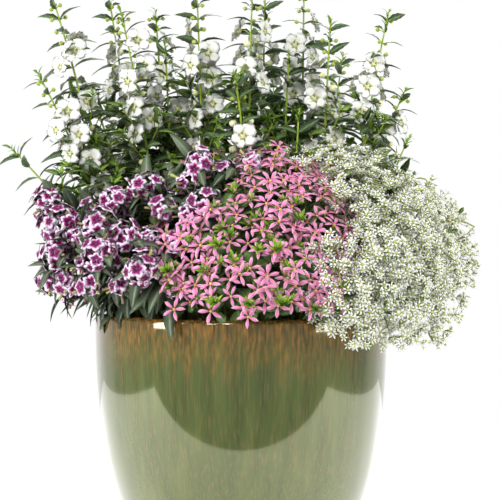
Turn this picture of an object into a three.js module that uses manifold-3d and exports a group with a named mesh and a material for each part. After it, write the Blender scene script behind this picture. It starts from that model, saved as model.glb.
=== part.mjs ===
// A glazed round planter holding one mixed planting: tall white angelonia spires at the back, balls of
// purple-and-white garden phlox on the left, pink fan flowers over the front of the rim and a cloud of
// white-bracted spurge on the right. Millimetres, +Z up, the origin under the middle of the pot's foot.
// The pot and its potting mix are turned shapes. Every shoot that was planted or grew from the soil is one
// solid: its stem with the leaves and flowers that it carries, drawn as plain low-poly shapes.
import * as THREE from 'three';
import { mergeVertices } from 'three/addons/utils/BufferGeometryUtils.js';
import Module from 'manifold-3d';

const wasm = await Module();
wasm.setup();

// ---- Driving dimensions ----
const POT_RADIUS = 182; // widest, just under the rim
const POT_HEIGHT = 318;
const POT_WALL = 13;
const POT_FLOOR = 15;
const POT_CURVE_DEPTH = 357; // below the rim, where the outline's curve would close on the axis
const POT_CURVE_POWER = 2.5;
const POT_LIP = 5; // radius of the rounded rim
const POT_LIP_FLAT = 0.55; // share of the rim's radius to each side that is drawn level on top
const FOOT_WIDTH = 24; // the ring that the pot stands on
const FOOT_RECESS = 4;
const FOOT_DRAWN_IN = 3; // from the wall to the foot's edge
const FOOT_SLOPE = 2; // how far the ring's inner side leans
const DRAIN_RADIUS = 14;
const POT_SIDES = 32;
const WALL_LEVELS = 6;

const SOIL_BELOW_RIM = 24;
const SOIL_DOME = 7; // the middle stands this much higher than the edge
const SOIL_SHOULDER = 100; // radius at which the dome's slope is broken
const SOIL_LEVELS = 3;
const GAP = 0.4; // between pieces that touch
const PLANTED = 12; // how deep a shoot stands in the soil

const STEM_SIDES = 3;
const LEAF_THICKNESS = 2;
const LEAF_TAPER = 0.4; // how much smaller a leaf at the tip is than one at the root, as a share
const LEAF_SPREAD = [0.85, 1.1]; // from the smallest leaf to the largest, as shares of the usual size
const LEAF_WANDER = 0.3; // radians to either side of the cross that pairs of leaves make
const FLOWER_TURN = 2.4; // radians round the stem from one flower to the next
const FLOWER_WANDER = 0.4;
const ROOM = [1.12, 1.12, 1.04]; // the clear space that a leaf or flower needs, as multiples of its size

const SEED = 11;
const DRAW_FACTOR = 1103515245;
const DRAW_STEP = 12345;
const DRAW_RANGE = 2 ** 31;

// ---- Solids ----
function solidOf(geometry) {
  const bare = geometry.index ? geometry.toNonIndexed() : geometry.clone();
  for (const name of Object.keys(bare.attributes)) {
    if (name !== 'position') bare.deleteAttribute(name);
  }
  const merged = mergeVertices(bare, 1e-4);
  return new wasm.Manifold(new wasm.Mesh({
    numProp: 3,
    vertProperties: merged.attributes.position.array,
    triVerts: new Uint32Array(merged.index.array),
  }));
}

function geometryOf(solid) {
  const mesh = solid.getMesh();
  const position = new Float32Array(mesh.numVert * 3);
  for (let i = 0; i < mesh.numVert; i += 1) {
    position.set(mesh.vertProperties.subarray(i * mesh.numProp, i * mesh.numProp + 3), i * 3);
  }
  const geometry = new THREE.BufferGeometry();
  geometry.setAttribute('position', new THREE.BufferAttribute(position, 3));
  geometry.setIndex(new THREE.BufferAttribute(mesh.triVerts, 1));
  geometry.computeVertexNormals();
  return geometry;
}

function finish(color, roughness) {
  return new THREE.MeshStandardMaterial({ color, roughness, metalness: 0 });
}

// The same draws every run.
let draw = SEED;
function random(low, high) {
  draw = (draw * DRAW_FACTOR + DRAW_STEP) % DRAW_RANGE;
  return low + (high - low) * (draw / DRAW_RANGE);
}

// ---- The pot ----
function potRadiusAt(z) {
  const depth = (POT_HEIGHT - z) / POT_CURVE_DEPTH;
  return POT_RADIUS * (1 - depth ** POT_CURVE_POWER) ** (1 / POT_CURVE_POWER);
}

// A closed outline in (radius, height), turned round the Z axis.
function turned(outline) {
  const points = outline.map(([radius, z]) => new THREE.Vector2(radius, z));
  return new THREE.LatheGeometry(points, POT_SIDES).rotateX(Math.PI / 2);
}

function potOutline() {
  const outside = [];
  const inside = [];
  for (let i = 0; i <= WALL_LEVELS; i += 1) {
    const z = FOOT_RECESS + (POT_HEIGHT - POT_LIP - FOOT_RECESS) * (i / WALL_LEVELS);
    outside.push([potRadiusAt(z), z]);
  }
  for (let i = WALL_LEVELS; i >= 0; i -= 1) {
    const z = POT_FLOOR + (POT_HEIGHT - POT_LIP - POT_FLOOR) * (i / WALL_LEVELS);
    inside.push([potRadiusAt(z) - POT_WALL, z]);
  }
  const footRadius = potRadiusAt(FOOT_RECESS) - FOOT_DRAWN_IN;
  const middle = POT_RADIUS - POT_WALL / 2;
  const flat = POT_LIP * POT_LIP_FLAT;
  return [
    [DRAIN_RADIUS, FOOT_RECESS],
    [footRadius - FOOT_WIDTH, FOOT_RECESS],
    [footRadius - FOOT_WIDTH + FOOT_SLOPE, 0],
    [footRadius, 0],
    ...outside,
    [middle + flat, POT_HEIGHT],
    [middle - flat, POT_HEIGHT],
    ...inside,
    [DRAIN_RADIUS, POT_FLOOR],
    [DRAIN_RADIUS, FOOT_RECESS],
  ];
}

function makePot() {
  return solidOf(turned(potOutline()));
}

// ---- The potting mix ----
const soilEdge = POT_HEIGHT - SOIL_BELOW_RIM;

function soilTopAt(radius) {
  const share = radius / (POT_RADIUS - POT_WALL);
  return soilEdge + SOIL_DOME * (1 - share * share);
}

function makeSoil() {
  const outline = [[0, POT_FLOOR + GAP]];
  for (let i = 0; i <= SOIL_LEVELS; i += 1) {
    const z = POT_FLOOR + GAP + (soilEdge - POT_FLOOR - GAP) * (i / SOIL_LEVELS);
    outline.push([potRadiusAt(z) - POT_WALL - 2 * GAP, z]);
  }
  outline.push([SOIL_SHOULDER, soilTopAt(SOIL_SHOULDER)]);
  outline.push([0, soilTopAt(0)]);
  return solidOf(turned(outline));
}

// ---- Stems, leaves and flowers ----
// A shoot rises from its root, bows over and ends at its tip. lean is how far sideways from the root to the
// tip the bow's control point stands, and rise is its height over the root.
function shootPath(root, tip, lean, rise) {
  const bow = new THREE.Vector3().lerpVectors(root, tip, lean);
  bow.z = root.z + rise;
  return new THREE.QuadraticBezierCurve3(root, bow, tip);
}

// Two directions across a path at t. A path stands in an upright plane: side is level, square to that plane.
function across(path, t) {
  const along = path.getTangent(t);
  const side = new THREE.Vector3(path.v0.y - path.v2.y, path.v2.x - path.v0.x, 0).normalize();
  const front = new THREE.Vector3().crossVectors(along, side);
  return { along, side, front };
}

// A round bar from the root to the tip of a path, thinner towards the tip.
function stem(path, rootRadius, tipRadius, steps) {
  const bar = new THREE.CylinderGeometry(tipRadius, rootRadius, 1, STEM_SIDES, steps);
  const position = bar.attributes.position;
  for (let i = 0; i < position.count; i += 1) {
    const t = position.getY(i) + 0.5;
    const { side, front } = across(path, t);
    const point = path.getPoint(t)
      .addScaledVector(side, position.getX(i))
      .addScaledVector(front, -position.getZ(i));
    position.setXYZ(i, point.x, point.y, point.z);
  }
  return solidOf(bar);
}

// The middle of a shoot's bar at t, where its rings are joined by straight runs.
function middleAt({ path, style }, t) {
  const ring = Math.min(Math.floor(t * style.steps), style.steps - 1);
  const below = path.getPoint(ring / style.steps);
  const above = path.getPoint((ring + 1) / style.steps);
  return below.lerp(above, t * style.steps - ring);
}

// Puts a shape that was made along +Z, from the origin, at a point, pointing along a direction.
function placed(geometry, at, direction) {
  const turn = new THREE.Quaternion().setFromUnitVectors(new THREE.Vector3(0, 0, 1), direction);
  return solidOf(geometry.clone().applyQuaternion(turn).translate(at.x, at.y, at.z));
}

function leafShape(length, width) {
  return new THREE.OctahedronGeometry(1)
    .scale(width / 2, LEAF_THICKNESS / 2, length / 2)
    .translate(0, 0, length / 2);
}

function flowerShape(radius, depth) {
  return new THREE.ConeGeometry(radius, depth, 4).rotateX(-Math.PI / 2).translate(0, 0, depth / 2);
}

// A spray of bracts, from its joint outwards.
function sprayShape(length, radius) {
  return new THREE.ConeGeometry(radius, length, 3).rotateX(-Math.PI / 2).translate(0, 0, length / 2);
}

// A direction that leaves the path sideways at t, at an angle round it, raised towards the tip.
function outward(path, t, angle, raise) {
  const { along, side, front } = across(path, t);
  return side.multiplyScalar(Math.cos(angle))
    .addScaledVector(front, Math.sin(angle))
    .addScaledVector(along, raise)
    .normalize();
}

// ---- Shoots ----
const shoots = [];

function addShoot(name, material, style, [tipX, tipY, tipZ, rootX, rootY]) {
  const rootZ = soilTopAt(Math.hypot(rootX, rootY)) - PLANTED;
  const root = new THREE.Vector3(rootX, rootY, rootZ);
  const tip = new THREE.Vector3(tipX, tipY, tipZ);
  const path = shootPath(root, tip, style.lean, style.rise(tipZ - rootZ));
  const bar = stem(path, style.rootRadius, style.tipRadius, style.steps);
  const pocket = stem(path, style.rootRadius + GAP, style.tipRadius + GAP, style.steps);
  shoots.push({ name, material, path, bar, pocket, style, parts: [] });
}

// A low shoot's root stands between its plant's crown and its tip.
function rootedTowards(crown, share, [x, y, z]) {
  return [x, y, z, crown[0] + share * (x - crown[0]), crown[1] + share * (y - crown[1])];
}

// Angelonia: upright spires with pairs of leaves, and flowers on the upper two thirds.
// Each is the tip's x, y and z, then the root's x and y.
const angelonia = {
  lean: 0.35,
  rise: (height) => 0.6 * height,
  rootRadius: 2.8,
  tipRadius: 1.2,
  steps: 4,
  leaves: { pairs: 3, from: 0.2, to: 0.85, length: 46, width: 11, raise: 0.35 },
  flowers: { count: 4, from: 0.45, to: 0.8, radius: 13, depth: 14, raise: 0.2 },
};
const leafyShoot = { ...angelonia, flowers: null, leaves: { ...angelonia.leaves, from: 0.35, length: 60 } };
const SPIRES = [
  [-246, 20, 735, -148, 10], [-250, -40, 612, -138, -22], [-172, 80, 725, -122, 62],
  [-150, -5, 690, -92, 8], [-112, 120, 700, -92, 106], [-98, 50, 655, -84, 45],
  [-57, 20, 738, -44, 22], [14, 5, 748, 6, 24], [30, 95, 712, 24, 88], [-8, -50, 608, 20, -20],
  [80, 60, 735, 76, 62], [112, 15, 680, 98, 22], [186, 20, 692, 128, 12], [-200, 130, 600, -120, 80],
  [-60, 190, 640, -44, 122], [44, 196, 620, 38, 132], [136, 176, 645, 96, 102], [212, 110, 595, 120, 66],
];
const LEAFY_SHOOTS = [
  [-284, -35, 520, -130, -48], [208, -20, 532, 134, -32], [60, 30, 640, 48, 20], [70, -48, 566, 62, -22],
  [-28, -66, 528, -20, -40], [-130, 214, 470, -72, 116], [172, 212, 455, 84, 122],
];

// Garden phlox: leafy stems, each ending in a ball of small flowers.
// Each is the ball's middle, then its radius.
const phlox = {
  crown: [-80, -58],
  share: 0.3,
  lean: 0.45,
  rise: (height) => 0.75 * Math.max(height, 0) + 46,
  rootRadius: 2.4,
  tipRadius: 1.6,
  steps: 4,
  leaves: { pairs: 2, from: 0.45, to: 0.75, length: 46, width: 14, raise: 0.3 },
};
const PHLOX_HEADS = [
  [-230, -60, 458, 15], [-190, -60, 450, 18], [-154, -72, 454, 19], [-115, -70, 470, 19],
  [-212, -90, 430, 18], [-177, -115, 424, 20], [-145, -130, 414, 19], [-216, -108, 394, 19], [-174, -146, 390, 22],
  [-118, -178, 370, 23], [-226, -76, 360, 17], [-50, -82, 500, 20], [-38, -118, 450, 19],
];

// Fan flower: low stems that spread over the front of the rim, with flowers along them.
const fanFlower = {
  crown: [16, -88],
  share: 0.42,
  lean: 0.5,
  rise: (height) => 0.8 * Math.max(height, 0) + 52,
  rootRadius: 2.2,
  tipRadius: 1.2,
  steps: 4,
  leaves: { pairs: 2, from: 0.45, to: 0.8, length: 30, width: 15, raise: 0.4 },
  flowers: { count: 4, from: 0.5, to: 0.92, radius: 14, depth: 15, raise: 0.2 },
};
const FAN_TIPS = [
  [72, -76, 508], [96, -98, 472], [118, -126, 426], [6, -112, 472], [-90, -150, 402], [-46, -196, 356],
  [10, -216, 340], [68, -202, 352], [104, -166, 388], [20, -158, 424],
];

// Spurge: thin stems that fork again and again into a cloud of tiny white bracts.
const spurge = {
  crown: [96, -44],
  share: 0.2,
  lean: 0.55,
  rise: (height) => 0.55 * Math.max(height, 0) + 106,
  rootRadius: 2,
  tipRadius: 1,
  steps: 4,
  sprays: { count: 8, from: 0.4, to: 0.86, length: 36, radius: 9, raise: 0.6 },
};
const SPURGE_TIPS = [
  [134, -30, 510], [188, -46, 480], [236, -58, 444], [290, -58, 382], [266, -90, 330], [240, -112, 296],
  [180, -152, 286], [122, -186, 316], [214, -120, 400], [166, -102, 440],
];

const GREEN = finish(0x5f8f3a, 0.5);
const GREY_GREEN = finish(0x7f9a72, 0.55);
const FRESH_GREEN = finish(0x6fa04a, 0.5);
const PALE_GREEN = finish(0xb9c98a, 0.6);

// A plant's shoots are numbered from 01.
function addShoots(name, material, list, styleOf, rootedOf) {
  list.forEach((place, i) => {
    addShoot(`${name}_${String(i + 1).padStart(2, '0')}`, material, styleOf(place), rootedOf(place));
  });
}

addShoots('angelonia_spire', GREEN, SPIRES, () => angelonia, (place) => place);
addShoots('angelonia_leafy_shoot', GREEN, LEAFY_SHOOTS, () => leafyShoot, (place) => place);
addShoots('phlox_stem', GREY_GREEN, PHLOX_HEADS, (place) => ({ ...phlox, ball: place[3] }),
  (place) => rootedTowards(phlox.crown, phlox.share, place));
addShoots('fan_flower_stem', FRESH_GREEN, FAN_TIPS, () => fanFlower,
  (place) => rootedTowards(fanFlower.crown, fanFlower.share, place));
addShoots('spurge_stem', PALE_GREEN, SPURGE_TIPS, () => spurge,
  (place) => rootedTowards(spurge.crown, spurge.share, place));

// ---- Growing leaves and flowers where there is room ----
const pot = makePot();
let soil = makeSoil();

function boxesMeet(a, b) {
  return [0, 1, 2].every((k) => a.min[k] < b.max[k] && b.min[k] < a.max[k]);
}

function touches(part, others) {
  const box = part.boundingBox();
  return others.some((other) => boxesMeet(box, other.boundingBox()) && part.intersect(other).volume() > 0);
}

// Adds a part to its shoot, unless a slightly larger copy would touch the pot, the soil or another shoot.
function grow(shoot, geometry, at, direction) {
  const guard = placed(geometry.clone().scale(...ROOM), at, direction);
  const others = shoots.filter((other) => other !== shoot).flatMap((other) => [other.pocket, ...other.parts]);
  if (touches(guard, [pot, soil, ...others])) return false;
  shoot.parts.push(placed(geometry, at, direction));
  return true;
}

// The values of t for a number of joints, evenly spaced between two places on a path.
function joints(count, from, to) {
  return Array.from({ length: count }, (_, i) => from + (to - from) * (i / (count - 1)));
}

function growHead(shoot) {
  const ball = new THREE.IcosahedronGeometry(shoot.style.ball);
  grow(shoot, ball, shoot.path.getPoint(1), new THREE.Vector3(0, 0, 1));
}

function growLeaves(shoot) {
  const { pairs, from, to, length, width, raise } = shoot.style.leaves;
  joints(pairs, from, to).forEach((t, i) => {
    const size = length * (1 - LEAF_TAPER * t) * random(...LEAF_SPREAD);
    const turn = i * (Math.PI / 2) + random(-LEAF_WANDER, LEAF_WANDER);
    for (const angle of [turn, turn + Math.PI]) {
      grow(shoot, leafShape(size, width), middleAt(shoot, t), outward(shoot.path, t, angle, raise));
    }
  });
}

function growFlowers(shoot) {
  const { count, from, to, radius, depth, raise } = shoot.style.flowers;
  joints(count, from, to).forEach((t, i) => {
    const turn = i * FLOWER_TURN + random(-FLOWER_WANDER, FLOWER_WANDER);
    const direction = outward(shoot.path, t, turn, raise);
    grow(shoot, flowerShape(radius, depth), middleAt(shoot, t), direction);
  });
}

function growSprays(shoot) {
  const { count, from, to, length, radius, raise } = shoot.style.sprays;
  joints(count, from, to).forEach((t, i) => {
    const direction = outward(shoot.path, t, i * FLOWER_TURN, raise);
    grow(shoot, sprayShape(length, radius), middleAt(shoot, t), direction);
  });
}

const growers = { ball: growHead, flowers: growFlowers, sprays: growSprays, leaves: growLeaves };
for (const [kind, growOn] of Object.entries(growers)) {
  for (const shoot of shoots) {
    if (shoot.style[kind]) growOn(shoot);
  }
}

// ---- The finished object ----
const planter = new THREE.Group();

function addPiece(name, solid, material) {
  const mesh = new THREE.Mesh(geometryOf(solid), material);
  mesh.name = name;
  planter.add(mesh);
}

for (const shoot of shoots) {
  soil = soil.subtract(shoot.pocket);
}
addPiece('pot', pot, finish(0x5c7040, 0.15));
addPiece('potting_mix', soil, finish(0x3a2b20, 0.9));
for (const shoot of shoots) {
  const grown = shoot.parts.reduce((whole, part) => whole.add(part), shoot.bar);
  addPiece(shoot.name, grown, shoot.material);
}

export default planter;
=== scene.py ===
"""A glazed planter with white angelonia, purple-and-white phlox, pink fan flowers and white spurge."""
import math
import random

import bpy
import numpy as np
from mathutils import Matrix, Vector


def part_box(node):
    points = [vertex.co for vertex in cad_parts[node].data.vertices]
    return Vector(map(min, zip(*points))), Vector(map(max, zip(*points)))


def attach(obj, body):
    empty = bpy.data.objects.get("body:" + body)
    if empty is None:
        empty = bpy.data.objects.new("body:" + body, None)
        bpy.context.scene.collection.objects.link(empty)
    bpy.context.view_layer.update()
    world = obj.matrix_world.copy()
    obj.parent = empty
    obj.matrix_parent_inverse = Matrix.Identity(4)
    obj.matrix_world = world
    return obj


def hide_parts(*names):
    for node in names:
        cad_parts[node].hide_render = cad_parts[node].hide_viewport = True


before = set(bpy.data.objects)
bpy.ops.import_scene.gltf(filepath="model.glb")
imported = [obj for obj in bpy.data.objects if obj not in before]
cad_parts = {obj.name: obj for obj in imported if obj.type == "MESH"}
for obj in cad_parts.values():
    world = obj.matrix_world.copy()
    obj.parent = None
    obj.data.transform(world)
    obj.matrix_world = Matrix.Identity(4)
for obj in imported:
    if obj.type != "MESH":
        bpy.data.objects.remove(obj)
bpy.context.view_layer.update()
scene = bpy.context.scene


# ---- Camera ----
# A long lens a few paces in front, just above the flowers, looks a little down. The pot's foot and the
# tips of the tallest spires run out of the picture.
camera_data = bpy.data.cameras.new("camera")
camera_data.lens = 150
camera_data.clip_end = 50
camera = bpy.data.objects.new("camera", camera_data)
scene.collection.objects.link(camera)
camera.location = (0.011, -2.6, 0.50)
camera_aim = Vector((0.011, 0, 0.393))
camera.rotation_euler = (camera_aim - camera.location).to_track_quat("-Z", "Y").to_euler()
scene.camera = camera


# ---- Studio ----
# Wide white paper lies under the planter, with a soft box at each side, one high in front and one behind.
# The room in front of it is dim, and the backdrop is lit to plain white.
PAPER_HALF_WIDTH = 1.25
PAPER_FRONT = -0.52
PAPER_BACK = 1.3
bpy.ops.object.select_all(action="DESELECT")
bpy.ops.mesh.primitive_plane_add(size=2, location=(0, 0, 0))
floor = bpy.context.object
for corner in floor.data.vertices:
    corner.co.x *= PAPER_HALF_WIDTH
    corner.co.y = PAPER_BACK if corner.co.y > 0 else PAPER_FRONT
floor.name = "floor"
paper = bpy.data.materials.new("paper")
paper.use_nodes = True
paper_shader = paper.node_tree.nodes["Principled BSDF"]
paper_shader.inputs["Base Color"].default_value = (0.9, 0.9, 0.9, 1)
paper_shader.inputs["Roughness"].default_value = 0.9
paper_shader.inputs["Emission Color"].default_value = (1, 1, 1, 1)
paper_shader.inputs["Emission Strength"].default_value = 0.45
floor.data.materials.append(paper)


def soft_light(name, place, aim, size, power):
    """A square soft box that faces a point."""
    data = bpy.data.lights.new(name, "AREA")
    data.shape = "RECTANGLE"
    data.size, data.size_y = size
    data.energy = power
    lamp = bpy.data.objects.new(name, data)
    scene.collection.objects.link(lamp)
    lamp.location = place
    lamp.rotation_euler = (Vector(aim) - lamp.location).to_track_quat("-Z", "Y").to_euler()


soft_light("left_light", (-1.9, -1.1, 1.1), (0, 0, 0.4), (0.7, 1.8), 46)
soft_light("right_light", (2.0, -0.9, 1.0), (0, 0, 0.4), (0.7, 1.8), 36)
soft_light("front_light", (-0.8, -2.3, 2.6), (0, 0, 0.45), (0.9, 0.9), 52)
soft_light("back_light", (0.4, 1.9, 1.8), (0, 0, 0.5), (1.4, 1.0), 34)

world = bpy.data.worlds.new("room")
scene.world = world
world.use_nodes = True
room = world.node_tree
dim_room = room.nodes["Background"]
dim_room.inputs["Color"].default_value = (1, 1, 1, 1)
backdrop = room.nodes.new("ShaderNodeBackground")
backdrop.inputs["Color"].default_value = (1, 1, 1, 1)
seen = room.nodes.new("ShaderNodeLightPath")
either = room.nodes.new("ShaderNodeMixShader")
toward = room.nodes.new("ShaderNodeTexCoord")
parts = room.nodes.new("ShaderNodeSeparateXYZ")
brighter = room.nodes.new("ShaderNodeMapRange")
brighter.inputs["From Min"].default_value = 0.3
brighter.inputs["From Max"].default_value = 0.85
brighter.inputs["To Min"].default_value = 0.4
brighter.inputs["To Max"].default_value = 1.0
room.links.new(toward.outputs["Generated"], parts.inputs["Vector"])
room.links.new(parts.outputs["Y"], brighter.inputs["Value"])
room.links.new(brighter.outputs["Result"], dim_room.inputs["Strength"])
room.links.new(seen.outputs["Is Camera Ray"], either.inputs[0])
room.links.new(dim_room.outputs[0], either.inputs[1])
room.links.new(backdrop.outputs[0], either.inputs[2])
room.links.new(either.outputs[0], room.nodes["World Output"].inputs["Surface"])
scene.view_settings.view_transform = "Standard"


# ---- Pot ----
# A wide stoneware pot, thrown on a wheel and turned at the foot. It was dipped in a green glaze that broke
# to rust brown where it ran thin over the rim, with fine streaks down the wall.
def smooth(piece):
    for face in piece.data.polygons:
        face.use_smooth = True


def finished(piece, name, material, nodes=()):
    """Names a piece, gives it its material and ties it to the frame."""
    piece.name = name
    piece.data.name = name
    piece.data.materials.clear()
    piece.data.materials.append(material)
    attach(piece, "root")
    if nodes:
        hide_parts(*nodes)
    return piece


pot_low, pot_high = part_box("pot")
POT_RADIUS = (pot_high.x - pot_low.x) / 2
POT_HEIGHT = pot_high.z
POT_WALL = 0.013
POT_FLOOR = 0.015
FOOT_RECESS = 0.004
FOOT_WIDTH = 0.024
DRAIN_RADIUS = 0.014
CURVE_DEPTH = 0.357
CURVE_POWER = 2.5
LIP = 0.005


def pot_radius(z):
    depth = (POT_HEIGHT - z) / CURVE_DEPTH
    return POT_RADIUS * (1 - depth ** CURVE_POWER) ** (1 / CURVE_POWER)


def pot_outline():
    """The wall's section as (radius, height), from the drain hole out, up and back inside."""
    foot = pot_radius(FOOT_RECESS) - 0.003
    heights = np.linspace(FOOT_RECESS + 0.002, POT_HEIGHT - LIP * 1.4, 34)
    outline = [(DRAIN_RADIUS, FOOT_RECESS), (foot - FOOT_WIDTH, FOOT_RECESS)]
    outline.append((foot - FOOT_WIDTH + 0.002, 0.0006))
    outline += [(foot - FOOT_WIDTH + 0.004, 0), (foot - 0.002, 0), (foot, 0.0008)]
    outline += [(pot_radius(z), z) for z in heights]
    middle = POT_RADIUS - POT_WALL / 2
    for step in range(1, 12):
        angle = math.pi * step / 12
        outline.append((middle + POT_WALL / 2 * math.cos(angle),
                        POT_HEIGHT - LIP * 1.4 + LIP * 1.4 * math.sin(angle)))
    outline += [(pot_radius(z) - POT_WALL, z) for z in np.linspace(POT_HEIGHT - LIP * 1.4, POT_FLOOR, 16)]
    outline += [(DRAIN_RADIUS, POT_FLOOR), (DRAIN_RADIUS, FOOT_RECESS)]
    return outline


def turned(name, outline, steps):
    """Spins an outline once round the Z axis."""
    data = bpy.data.meshes.new(name)
    data.from_pydata([(r, 0, z) for r, z in outline], [(i, i + 1) for i in range(len(outline) - 1)], [])
    piece = bpy.data.objects.new(name, data)
    scene.collection.objects.link(piece)
    bpy.ops.object.select_all(action="DESELECT")
    bpy.context.view_layer.objects.active = piece
    piece.select_set(True)
    bpy.ops.object.mode_set(mode="EDIT")
    bpy.ops.mesh.select_all(action="SELECT")
    bpy.ops.mesh.spin(steps=steps, angle=2 * math.pi, center=(0, 0, 0), axis=(0, 0, 1))
    bpy.ops.mesh.select_all(action="SELECT")
    bpy.ops.mesh.remove_doubles(threshold=0.00005)
    bpy.ops.mesh.normals_make_consistent(inside=False)
    bpy.ops.object.mode_set(mode="OBJECT")
    smooth(piece)
    return piece


def node_maker(material):
    """Short ways to add a node, and to join an output to an input."""
    tree = material.node_tree

    def add(kind, **settings):
        node = tree.nodes.new("ShaderNode" + kind)
        for key, value in settings.items():
            setattr(node, key, value)
        return node

    return add, tree.links.new


def new_material(name, roughness, specular):
    material = bpy.data.materials.new(name)
    material.use_nodes = True
    shader = material.node_tree.nodes["Principled BSDF"]
    shader.inputs["Roughness"].default_value = roughness
    shader.inputs["Specular IOR Level"].default_value = specular
    return material, shader


def feed(material, value, socket):
    """Gives a socket a number, a colour or another node's output."""
    if isinstance(value, (int, float)):
        socket.default_value = value
    elif isinstance(value, tuple):
        socket.default_value = (*value, 1)
    else:
        material.node_tree.links.new(value, socket)


def worked(material, operation, *values):
    """The output of a maths node that is fed the values in turn."""
    node = node_maker(material)[0]("Math", operation=operation)
    for value, socket in zip(values, node.inputs):
        feed(material, value, socket)
    return node.outputs["Value"]


def ranged(material, value, low, high, first=0.0, last=1.0):
    """Turns a value between low and high into one between first and last."""
    node = node_maker(material)[0]("MapRange")
    sockets = ("Value", "From Min", "From Max", "To Min", "To Max")
    for given, socket in zip((value, low, high, first, last), sockets):
        feed(material, given, node.inputs[socket])
    return node.outputs["Result"]


def mixed(material, share, first, second, blend="MIX"):
    """Two colours mixed by a share."""
    node = node_maker(material)[0]("Mix", data_type="RGBA", blend_type=blend)
    for given, place in zip((share, first, second), (0, 6, 7)):
        feed(material, given, node.inputs[place])
    return node.outputs[2]


def ramped(material, value, stops):
    """Colours along a value: each stop is a place and a colour."""
    node = node_maker(material)[0]("ValToRGB")
    elements = node.color_ramp.elements
    while len(elements) < len(stops):
        elements.new(0.5)
    for element, (place, color) in zip(elements, stops):
        element.position = place
        element.color = (*color, 1)
    feed(material, value, node.inputs["Fac"])
    return node.outputs["Color"]


def relief(material, shader, height, strength, distance):
    """Raises a surface a little by a height."""
    add, join = node_maker(material)
    bump = add("Bump")
    bump.inputs["Strength"].default_value = strength
    bump.inputs["Distance"].default_value = distance
    join(height, bump.inputs["Height"])
    join(bump.outputs["Normal"], shader.inputs["Normal"])


def glaze_material():
    """A deep green glaze with fine runs down the wall, thinned to rust brown over the rim."""
    glaze, shader = new_material("green_glaze", 0.08, 1.0)
    shader.inputs["Specular Tint"].default_value = (1, 1, 0.6, 1)
    shader.inputs["Coat Weight"].default_value = 0.8
    shader.inputs["Coat Roughness"].default_value = 0.03
    shader.inputs["Coat IOR"].default_value = 1.45
    add, join = node_maker(glaze)
    place = add("TexCoord").outputs["Object"]

    def noise(across, down, detail):
        mapping = add("Mapping")
        mapping.inputs["Scale"].default_value = (across, across, down)
        join(place, mapping.inputs["Vector"])
        pattern = add("TexNoise")
        pattern.inputs["Scale"].default_value = 1
        pattern.inputs["Detail"].default_value = detail
        join(mapping.outputs["Vector"], pattern.inputs["Vector"])
        return pattern.outputs["Fac"]

    fine = noise(430, 9, 3)
    broad = noise(70, 5, 4)
    runs = noise(150, 7, 3)
    mottle = noise(330, 60, 7)
    height = add("SeparateXYZ")
    join(place, height.inputs["Vector"])

    # From 0 where the rust starts to 1 at the rim, made ragged by the runs.
    up = ranged(glaze, height.outputs["Z"], POT_HEIGHT - 0.095, POT_HEIGHT - 0.002)
    band = worked(glaze, "ADD", up, worked(glaze, "MULTIPLY_ADD", runs, 1.3, -0.72))

    greens = ramped(glaze, broad, [(0.3, (0.034, 0.053, 0.012)), (0.52, (0.054, 0.077, 0.018)),
                                   (0.72, (0.08, 0.104, 0.028))])
    fine_share = ramped(glaze, fine, [(0.5, (0, 0, 0)), (0.72, (0.55, 0.55, 0.55))])
    brown = ramped(glaze, broad, [(0.0, (0.13, 0.085, 0.03)), (1.0, (0.2, 0.13, 0.045))])
    wall = mixed(glaze, fine_share, greens, brown)
    rusts = ramped(glaze, mottle, [(0.3, (0.035, 0.04, 0.012)), (0.44, (0.1, 0.055, 0.014)),
                                   (0.56, (0.22, 0.1, 0.02)), (0.72, (0.4, 0.17, 0.025))])
    share = ramped(glaze, band, [(0.2, (0, 0, 0)), (0.6, (0.45, 0.45, 0.45)), (0.95, (0.95, 0.95, 0.95))])
    feed(glaze, mixed(glaze, share, wall, rusts), shader.inputs["Base Color"])
    ripple = worked(glaze, "MULTIPLY_ADD", fine, 0.45, broad)
    relief(glaze, shader, ripple, 0.12, 0.0008)
    return glaze


pot = turned("glazed_pot", pot_outline(), 128)
finished(pot, "glazed_pot", glaze_material(), ["pot"])


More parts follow.
